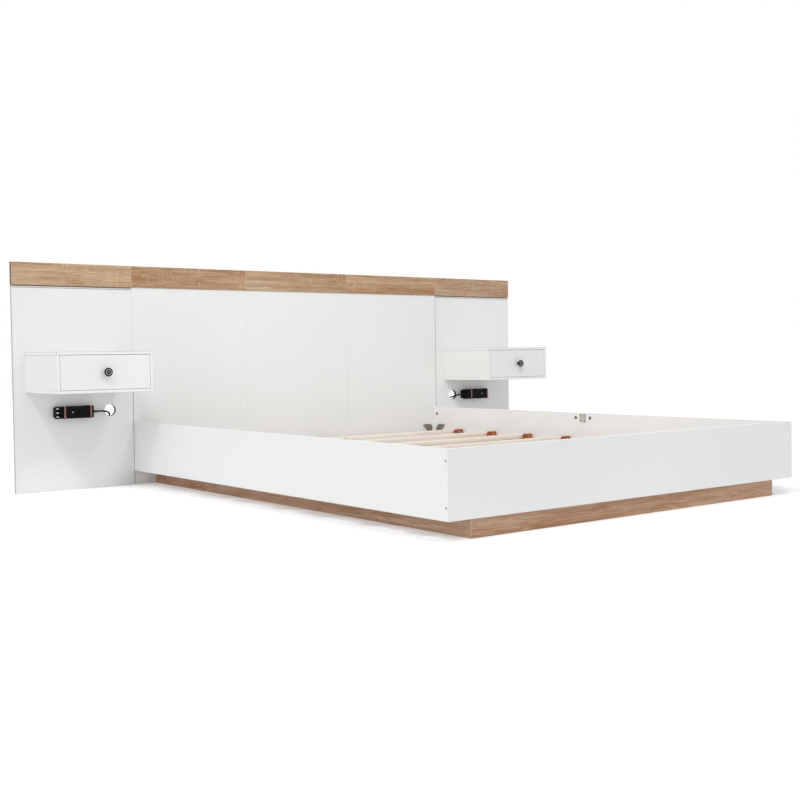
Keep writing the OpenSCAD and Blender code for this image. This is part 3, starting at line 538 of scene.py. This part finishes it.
screw_steel = mottled("screw_steel", (150, 151, 153), (190, 191, 193), scale=700, detail=4,
                      roughness=0.35, metallic=1.0)


def screw_form():
    """One screw on the axis Z: head from -2 mm to 0 with a dished recess, shank up to 6 mm."""
    return turned([(0, -0.0008), (0.0009, -0.0009), (0.0028, -0.0020), (0.0034, -0.0018), (0.0039, -0.0011),
                   (0.0040, 0), (0.0020, 0), (0.0020, 0.0060), (0, 0.0060)], sides=24)


def scattered(name, unit_form, places, material):
    """Sets one unit on many places with Geometry Nodes; a place is (point, turns in radians)."""
    unit = piece(name + "_unit", unit_form, material)
    spots = bpy.data.meshes.new(name + "_spots")
    spots.from_pydata([point for point, turns in places], [], [])
    turn_values = spots.attributes.new("turn", "FLOAT_VECTOR", "POINT")
    for i, (point, turns) in enumerate(places):
        turn_values.data[i].vector = turns
    holder = bpy.data.objects.new(name + "_spots", spots)
    bpy.context.scene.collection.objects.link(holder)
    tree = bpy.data.node_groups.new(name, "GeometryNodeTree")
    tree.interface.new_socket("Geometry", in_out="INPUT", socket_type="NodeSocketGeometry")
    tree.interface.new_socket("Unit", in_out="INPUT", socket_type="NodeSocketObject")
    tree.interface.new_socket("Size", in_out="INPUT", socket_type="NodeSocketFloat").default_value = 1.0
    tree.interface.new_socket("Finish", in_out="INPUT", socket_type="NodeSocketMaterial")
    tree.interface.new_socket("Geometry", in_out="OUTPUT", socket_type="NodeSocketGeometry")
    start = tree.nodes.new("NodeGroupInput")
    end = tree.nodes.new("NodeGroupOutput")
    shape = shader(tree, "GeometryNodeObjectInfo", {"Object": start.outputs["Unit"]})
    turned_by = shader(tree, "GeometryNodeInputNamedAttribute", {"Name": "turn"}, data_type="FLOAT_VECTOR")
    turning = shader(tree, "FunctionNodeEulerToRotation", {"Euler": turned_by.outputs["Attribute"]})
    copies = shader(tree, "GeometryNodeInstanceOnPoints", {
        "Points": start.outputs["Geometry"], "Instance": shape.outputs["Geometry"],
        "Rotation": turning.outputs["Rotation"], "Scale": start.outputs["Size"]})
    solid = shader(tree, "GeometryNodeRealizeInstances", {"Geometry": copies.outputs["Instances"]})
    dressed = shader(tree, "GeometryNodeSetMaterial", {"Geometry": solid.outputs["Geometry"],
                                                       "Material": start.outputs["Finish"]})
    tree.links.new(dressed.outputs["Geometry"], end.inputs["Geometry"])
    row = holder.modifiers.new(name, "NODES")
    row.node_group = tree
    sockets = {item.name: item.identifier for item in tree.interface.items_tree if item.in_out == "INPUT"}
    row[sockets["Unit"]] = unit
    row[sockets["Size"]] = 1.0
    row[sockets["Finish"]] = material
    bpy.context.view_layer.update()
    made = bpy.data.objects.new(name, bpy.data.meshes.new_from_object(
        holder.evaluated_get(bpy.context.evaluated_depsgraph_get())))
    made.data.name = name
    bpy.context.scene.collection.objects.link(made)
    holder.modifiers.remove(row)
    for spare in (holder, unit):
        bpy.data.objects.remove(spare)
    return made


def middle_of(node):
    """The middle of a node's box."""
    low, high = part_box(node)
    return (low + high) / 2


steel_thickness = 0.002
joint_lines = (-outer_joint, -inner_joint, inner_joint, outer_joint)
plate_heights = (0.180, 0.680)
stand_middles = {word: middle_of(f"drawer_{word}_front").x for word in ("left", "right")}
stand_middle_z = middle_of("drawer_left_front").z
to_front = (math.pi / 2, 0, 0)
back_places = [((x + dx, panel_back_y + steel_thickness, z + dz), to_front)
               for x in joint_lines for z in plate_heights
               for dx in (-0.028, 0.028) for dz in (-0.018, 0.018)]
back_places += [((x + dx, panel_back_y, stand_middle_z + dz), to_front) for x in stand_middles.values()
                for dx in (-0.1915, 0.1915) for dz in (-0.045, 0.045)]
back_screws = scattered("back_screws", screw_form(), back_places, screw_steel)
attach(back_screws, "bed")
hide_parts("headboard_screws")

# ---------------------------------------------------------------- Rails and footboard
# The bed's low frame is of the same white board: two halves a side, butted at mid length, and a
# footboard between them. Screws hold the foot ends, cam fasteners and steel the other joints.
for node in ("rail_left_head", "rail_left_foot", "rail_right_head", "rail_right_foot"):
    rail = banded_board(node, (0,), white_face, white_face, white_face, rounding=0.0004)
    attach(rail, "bed")
footboard = banded_board("footboard", (1,), white_face, white_face, white_face, rounding=0.0004)
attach(footboard, "bed")

cam_metal = mottled("cam_metal", (92, 92, 93), (128, 128, 129), scale=1100, detail=5, metallic=0.85,
                    relief=(0.3, 0.0003))
coat("rail_cams", cam_metal)

rail_inner_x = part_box("rail_right_head")[0].x
rail_outer_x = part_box("rail_right_head")[1].x
mid_joint_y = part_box("rail_right_head")[0].y
footboard_middle_y = middle_of("footboard").y
joint_plate_z = middle_of("rail_joint_plates").z
bracket_z = 0.167
screw_head = 0.002
to_back = (-math.pi / 2, 0, 0)
frame_places = []
for side in (-1, 1):
    inward = (0, -side * math.pi / 2, 0)
    outward = (0, side * math.pi / 2, 0)
    on_rail_x = side * (rail_inner_x - steel_thickness)
    for z in (0.0985, 0.233):
        frame_places.append(((side * (rail_outer_x - screw_head), footboard_middle_y, z), inward))
    for dx in (0.034, 0.056):
        place = (side * (rail_inner_x - dx), panel_front_y - steel_thickness, bracket_z)
        frame_places.append((place, to_back))
    for dy in (0.047, 0.069):
        frame_places.append(((on_rail_x, panel_front_y - dy, bracket_z), outward))
    for dy in (-0.012, 0.012):
        for dz in (-0.012, 0.012):
            frame_places.append(((on_rail_x, mid_joint_y + dy, joint_plate_z + dz), outward))
frame_screws = scattered("frame_screw_heads", screw_form(), frame_places, screw_steel)
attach(frame_screws, "bed")
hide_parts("frame_screws")

# ---------------------------------------------------------------- Slats
# Eight planed pine slats with knots lie across the bed on softwood ledges. Each end sits in a moulded
# red-brown plastic cap.
pine, pine_tree, pine_surface = finish("planed_pine", roughness=0.6, specular=0.3)
pine_wander = noise(pine_tree, stretched(pine_tree, (1.2, 6, 14)), detail=3)
pine_grain = noise(pine_tree, stretched(pine_tree, (3, 160, 240)), detail=4, roughness=0.6)
pine_rings = shader(pine_tree, "ShaderNodeTexWave", {
    "Vector": stretched(pine_tree, (0.4, 14, 30)), "Scale": 2.4, "Distortion": 6.0, "Detail": 3.0,
    "Detail Scale": 0.7}, wave_type="BANDS", bands_direction="Y", wave_profile="SAW")
pine_knots = shader(pine_tree, "ShaderNodeTexVoronoi", {
    "Vector": stretched(pine_tree, (5.2, 10, 16)), "Scale": 1.0, "Randomness": 1.0})
pine_tone = ramp(pine_tree, pine_wander, [(0.3, colour(235, 224, 209)), (0.7, colour(243, 235, 224))])
pine_tone = layer(pine_tree, pine_tone, pine_rings.outputs["Fac"], [(0.55, 0), (0.95, 0.4)],
                  colour(222, 202, 177))
pine_tone = layer(pine_tree, pine_tone, pine_grain, [(0.3, 0.35), (0.5, 0)], colour(222, 202, 176))
pine_tone = layer(pine_tree, pine_tone, pine_knots.outputs["Distance"], [(0.04, 0.45), (0.10, 0)],
                  colour(132, 84, 48))
pine_tree.links.new(pine_tone, pine_surface.inputs["Base Color"])
bump(pine_tree, pine_surface, pine_grain, strength=0.3, distance=0.0004)

for node in ("slat_ledges", "spacer_blocks"):
    wood = banded_board(node, (0, 1, 2), pine, pine, pine, rounding=0.0012)
    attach(wood, "bed")

slat_count = 8
slat_width = 0.070
row_low, row_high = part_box("slats")
slat_first = row_high.y - slat_width / 2
slat_pitch = (row_high.y - row_low.y - slat_width) / (slat_count - 1)
slat_lines = [slat_first - k * slat_pitch for k in range(slat_count)]


def rounded_box(low, high, radius):
    form = bmesh.new()
    bmesh.ops.create_cube(form, size=1.0)
    for vertex in form.verts:
        vertex.co = Vector(low[i] if vertex.co[i] < 0 else high[i] for i in range(3))
    bmesh.ops.bevel(form, geom=list(form.edges), offset=radius, offset_type="OFFSET", segments=2,
                    profile=0.5, affect="EDGES", clamp_overlap=True)
    return form


slat_form = rounded_box((row_low.x, -slat_width / 2, 0), (row_high.x, slat_width / 2, row_high.z - row_low.z),
                        radius=0.0025)
slat_places = [((0, y, row_low.z), (0, 0, 0)) for y in slat_lines]
slats = scattered("slat_row", slat_form, slat_places, pine)
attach(slats, "bed")
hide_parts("slats")

cap_plastic = mottled("brown_cap_plastic", (142, 72, 38), (168, 92, 52), scale=500, detail=4,
                      roughness=0.45, relief=(0.2, 0.0003))
# The lip behind each slat is drawn lower than that of the solid, just under the slat's top.
cap_lip_y = 0.034
cap_lip_top_z = 0.159
cap_form = bmesh.new()
cap_form.from_mesh(nodes["slat_caps"].data)
for vertex in cap_form.verts:
    behind = min((vertex.co.y - y for y in slat_lines), key=abs)
    if behind > cap_lip_y:
        vertex.co.z = min(vertex.co.z, cap_lip_top_z)
slat_caps = piece("slat_cap_row", cap_form, cap_plastic)
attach(slat_caps, "bed")
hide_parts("slat_caps")

cap_brass = mottled("yellow_screws", (204, 150, 92), (228, 184, 126), scale=900, roughness=0.4,
                    metallic=0.6)
cap_screw_x = 0.7845
cap_screw_y = -0.0432
cap_screw_z = 0.152
cap_places = [((side * cap_screw_x, y + cap_screw_y, cap_screw_z), to_back)
              for side in (-1, 1) for y in slat_lines]
cap_screws = scattered("slat_cap_screw_heads", screw_form(), cap_places, cap_brass)
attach(cap_screws, "bed")
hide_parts("slat_cap_screws")

# ---------------------------------------------------------------- Plinth
# The bed stands on a recessed plinth of oak-decor boards under softwood blocks below the rails. The
# sides are two boards each, butted end to end, of slightly different tone.
for node, shift in (("plinth_front", 21.0), ("plinth_back", 24.0)):
    decor = oak_decor("oak_" + node, shift, (0.98, 0.91, 0.93), roughness=0.6, saws=0.3)
    board = banded_board(node, (1,), decor, decor, oak_edge_highlight, oak_round)
    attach(board, "bed")


def on_foot_half(middle, normal):
    """Whether a face is a broad one of the board nearer to the foot end."""
    return middle.y < mid_joint_y and abs(normal.x) > 0.98


# The side boards are set lighter than the front and back ones, as painted light on the recessed sides.
for node, shift in (("plinth_sides_left", 2.0), ("plinth_sides_right", 5.0), ("plinth_centre", 8.0)):
    decor = oak_decor("oak_" + node, shift, (1.16, 1.09, 1.19), along=1, roughness=0.6, saws=0.3)
    foot_half = oak_decor("oak_foot_" + node, shift + 11, (1.11, 1.0, 1.08), along=1, roughness=0.6, saws=0.3)
    board = banded_board(node, (0,), decor, decor, oak_edge_highlight, oak_round,
                         special=(foot_half, on_foot_half))
    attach(board, "bed")

# ---------------------------------------------------------------- Nightstands
# Each nightstand is an open white case of four boards screwed to an outer panel, which closes its back.
# Inside, a softwood runner on each side carries the drawer.
stand_line = mottled("stand_line", (138, 137, 134), (160, 159, 156), scale=300)
for word in ("left", "right"):
    for part, thin in (("top", (2,)), ("bottom", (2,)), ("sides", (0,))):
        line = stand_line if part == "top" else glue_line
        board = banded_board(f"nightstand_{word}_{part}", thin, white_face, white_band, line, rounding=0.0009)
        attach(board, "bed")
runners = banded_board("drawer_runners", (0, 1, 2), pine, pine, pine, rounding=0.0006)
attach(runners, "bed")

# ---------------------------------------------------------------- Drawers
# A drawer has a front of white board, sides and back of the same, and a thin bottom in grooves.
# Its knob is turned metal, lacquered dark grey, with a dished face whose ring and dot are bare.
knob_lacquer = mottled("knob_lacquer", (22, 22, 24), (34, 34, 36), scale=800, detail=4, metallic=0.1,
                       specular=0.15, relief=(0.1, 0.0002))
ring_metal = mottled("knob_rings", (150, 149, 146), (176, 175, 171), scale=600, roughness=0.4,
                     metallic=0.4)
knob_profile = [
    (0, 0), (0.0065, 0), (0.0065, 0.0018), (0.0056, 0.0040), (0.0050, 0.0062), (0.0054, 0.0088),
    (0.0065, 0.0110), (0.0092, 0.0139), (0.0130, 0.0170), (0.0150, 0.0182), (0.0165, 0.0190),
    (0.0170, 0.0205), (0.0170, 0.0218), (0.0165, 0.0235), (0.0150, 0.0245), (0.0130, 0.0250),
    (0.0126, 0.0240), (0.0118, 0.0238), (0.0095, 0.0238), (0.0092, 0.0245), (0.0085, 0.0246),
    (0.0082, 0.0236), (0.0070, 0.0234), (0.0052, 0.0234), (0.0050, 0.0242), (0.0044, 0.0243),
    (0.0041, 0.0234), (0.0026, 0.0234), (0.0024, 0.0243), (0, 0.0244)]
drawer_face_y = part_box("drawer_left_front")[0].y
bare_from = 0.023
centre_dot = 0.0022
ring_inside, ring_outside = 0.0083, 0.0107
for word, middle in stand_middles.items():
    body = "drawer_" + word
    for part, thin, rounding in (("front", (1,), 0.0007), ("box", (0, 1), 0.0007), ("bottom", (2,), 0.0004)):
        board = banded_board(f"drawer_{word}_{part}", thin, white_face, white_band, glue_line, rounding)
        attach(board, body)
    on_front = Matrix.Translation((middle, drawer_face_y, stand_middle_z))
    knob_form = moved(turned(knob_profile, sides=96), on_front @ Matrix.Rotation(math.pi / 2, 4, "X"))
    knob = piece("knob_" + word, knob_form, knob_lacquer, smooth=25)
    knob.data.materials.append(ring_metal)
    for face in knob.data.polygons:
        from_axis = math.hypot(face.center.x - middle, face.center.z - stand_middle_z)
        bare = from_axis < centre_dot or ring_inside < from_axis < ring_outside
        if bare and drawer_face_y - face.center.y > bare_from:
            face.material_index = 1
    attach(knob, body)
    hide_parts(f"drawer_{word}_knob")

# ---------------------------------------------------------------- Power strips
# Each outer panel carries a flat black power strip of moulded plastic with two dark red frames, an
# indicator lens and an end block of three round lobes. A tapered relief holds the lead.
housing = mottled("black_housing", (12, 12, 13), (22, 22, 23), scale=1500, specular=0.1,
                  relief=(0.3, 0.0002))
red_plastic = mottled("red_frame_plastic", (148, 98, 94), (166, 114, 109), scale=900, roughness=0.3)
lens_plastic = mottled("indicator_lens", (196, 204, 210), (222, 228, 232), scale=1200, detail=2,
                       roughness=0.15)

# The left block's three lobes each get a pale bar painted on the front: a painted highlight.
end_block, block_tree, block_surface = finish("end_block_black", roughness=0.5, specular=0.08)
block_grain = noise(block_tree, stretched(block_tree, (1, 1, 1)), scale=1500, detail=3)
block_black = ramp(block_tree, block_grain, [(0.3, colour(9, 9, 10)), (0.7, colour(18, 18, 19))])
block_spot = shader(block_tree, "ShaderNodeSeparateXYZ", {"Vector": stretched(block_tree, (1, 1, 1))})
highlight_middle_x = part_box("strip_end_blocks")[0].x + 0.0056
highlight_half_length = 0.0050
highlight_half_height = 0.0026
# Painted highlights: one pale bar on the front of each lobe of the left block.
painted_highlights = 0.0
for height in (0.3034, 0.320, 0.3366):
    painted_highlight = maths(block_tree, "COMPARE", block_spot.outputs["Z"], height, highlight_half_height)
    painted_highlights = maths(block_tree, "ADD", painted_highlights, painted_highlight)
across = maths(block_tree, "COMPARE", block_spot.outputs["X"], highlight_middle_x, highlight_half_length)
painted_highlights = maths(block_tree, "MULTIPLY", across, painted_highlights)
block_tree.links.new(blended(block_tree, painted_highlights, block_black, colour(214, 214, 210)),
                     block_surface.inputs["Base Color"])

for node, material in (("power_strip_left", housing), ("power_strip_right", housing),
                       ("strip_end_blocks", end_block), ("strip_reliefs", sheath),
                       ("strip_frames", red_plastic), ("strip_lenses", lens_plastic)):
    coat(node, material)

# ---------------------------------------------------------------- Floor and light
# A pale floor whose glow, seen by the camera alone, grows away from the bed, so that it looks white but
# keeps the soft shadow. Two suns from the left, soft lamps above and a weak low one for the headboard.
floor_form = bmesh.new()
bmesh.ops.create_grid(floor_form, x_segments=1, y_segments=1, size=14)
floor_paint, floor_tree, floor_surface = finish("floor_white", roughness=0.9, specular=0.0)
floor_tone = noise(floor_tree, stretched(floor_tree, (1, 1, 1)), scale=0.6, detail=2)
floor_colour = ramp(floor_tree, floor_tone, [(0.3, colour(247, 247, 247)), (0.7, colour(250, 250, 250))])
floor_tree.links.new(floor_colour, floor_surface.inputs["Base Color"])
floor_ray = shader(floor_tree, "ShaderNodeLightPath")
from_middle = shader(floor_tree, "ShaderNodeVectorMath", {0: stretched(floor_tree, (1, 1, 1))},
                     operation="LENGTH")
glow_strength = shader(floor_tree, "ShaderNodeMapRange", {
    "Value": from_middle.outputs["Value"], "From Min": 1.3, "From Max": 2.0, "To Min": 0.21, "To Max": 0.32})
floor_glow = shader(floor_tree, "ShaderNodeEmission",
                    {"Color": (0.94, 0.97, 1.0, 1), "Strength": glow_strength.outputs[0]})
floor_none = shader(floor_tree, "ShaderNodeEmission", {"Color": (0, 0, 0, 1), "Strength": 0.0})
floor_pick = shader(floor_tree, "ShaderNodeMixShader", {"Fac": floor_ray.outputs["Is Camera Ray"],
                                                        1: floor_none.outputs[0], 2: floor_glow.outputs[0]})
floor_sum = shader(floor_tree, "ShaderNodeAddShader", {0: floor_surface.outputs[0], 1: floor_pick.outputs[0]})
floor_tree.links.new(floor_sum.outputs[0], floor_tree.nodes["Material Output"].inputs["Surface"])
floor = piece("floor", floor_form, floor_paint)

world = bpy.data.worlds.new("studio")
bpy.context.scene.world = world
world.use_nodes = True
world_tree = world.node_tree
world_ray = shader(world_tree, "ShaderNodeLightPath")
seen = maths(world_tree, "ADD", world_ray.outputs["Is Camera Ray"], world_ray.outputs["Is Glossy Ray"])
seen = maths(world_tree, "ADD", seen, world_ray.outputs["Is Transmission Ray"], use_clamp=True)
studio_light = shader(world_tree, "ShaderNodeBackground", {"Color": (0.958, 0.978, 1.0, 1), "Strength": 0.61})
studio_white = shader(world_tree, "ShaderNodeBackground", {"Color": (1, 1, 1, 1), "Strength": 1.0})
world_mix = shader(world_tree, "ShaderNodeMixShader",
                   {"Fac": seen, 1: studio_light.outputs[0], 2: studio_white.outputs[0]})
world_tree.links.new(world_mix.outputs[0], world_tree.nodes["World Output"].inputs["Surface"])


def soft_lamp(name, place, target, size, power, tint=(0.95, 0.975, 1.0)):
    data = bpy.data.lights.new(name, "AREA")
    data.shape = "RECTANGLE"
    data.size, data.size_y = size
    data.energy = power
    data.color = tint
    lamp = bpy.data.objects.new(name, data)
    lamp.location = place
    lamp.visible_camera = False
    lamp.visible_glossy = False
    lamp.rotation_euler = (Vector(target) - Vector(place)).to_track_quat("-Z", "Y").to_euler()
    bpy.context.scene.collection.objects.link(lamp)


suns = (("key_left", (0.6, 0.63, -1.0), 0.55, 8), ("fill_left", (1.0, 0.25, -0.6), 0.56, 50))
for name, heading, power, spread in suns:
    sun_data = bpy.data.lights.new(name, "SUN")
    sun_data.energy = power
    sun_data.angle = math.radians(spread)
    sun = bpy.data.objects.new(name, sun_data)
    sun.rotation_euler = Vector(heading).to_track_quat("-Z", "Y").to_euler()
    bpy.context.scene.collection.objects.link(sun)
soft_lamp("over_bed", (-0.24, -1.21, 2.05), (-0.5, 1.0, 0.5), size=(0.5, 0.5), power=11.8)
soft_lamp("across", (-1.2, -0.6, 1.6), (0.9, 0.4, 0.3), size=(0.8, 0.8), power=2.7)
soft_lamp("inner_fill", (-0.1, 0.5, 0.36), (-0.1, 1.0, 0.33), size=(1.4, 0.15), power=0.23,
          tint=(0.80, 0.92, 1.0))

bpy.context.scene.view_settings.view_transform = "Standard"
